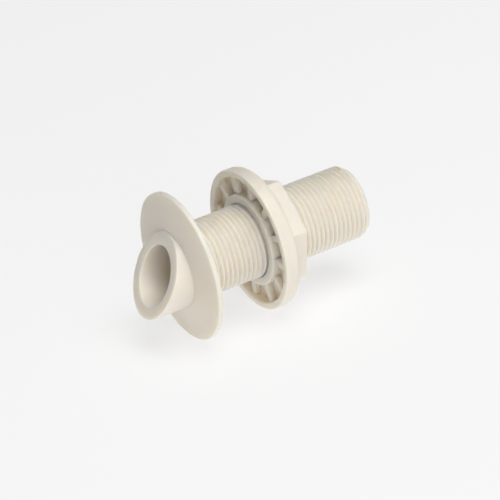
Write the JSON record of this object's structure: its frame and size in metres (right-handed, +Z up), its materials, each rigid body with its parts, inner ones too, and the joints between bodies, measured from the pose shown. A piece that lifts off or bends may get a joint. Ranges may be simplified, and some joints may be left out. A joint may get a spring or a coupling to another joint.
{
  "type": "thru hull fitting",
  "caption": "Plastic thru hull fitting: round flange with a slant-cut drip spout, threaded barrel and ribbed flange nut.",
  "frame": {"origin": "on the barrel's axis, in the plane of the flange's back face, where the flange seats on the outside of the hull", "axes": "+Y along the barrel, pointing inboard; +Z up; the long lip of the spout is at -Z"},
  "size_m": [0.0528, 0.0855, 0.0528],
  "materials": {
    "body_plastic": "off-white moulded nylon, satin",
    "nut_plastic": "off-white moulded nylon, satin"
  },
  "bodies": {
    "fitting": {"fitting_body": "body_plastic"},
    "nut": {"flange_nut": "nut_plastic"}
  },
  "joints": [
    {"name": "nut_travel", "type": "slide", "parent": "fitting", "child": "nut", "axis": [0, 1, 0], "range_m": [-0.0224, 0.0446]}
  ]
}
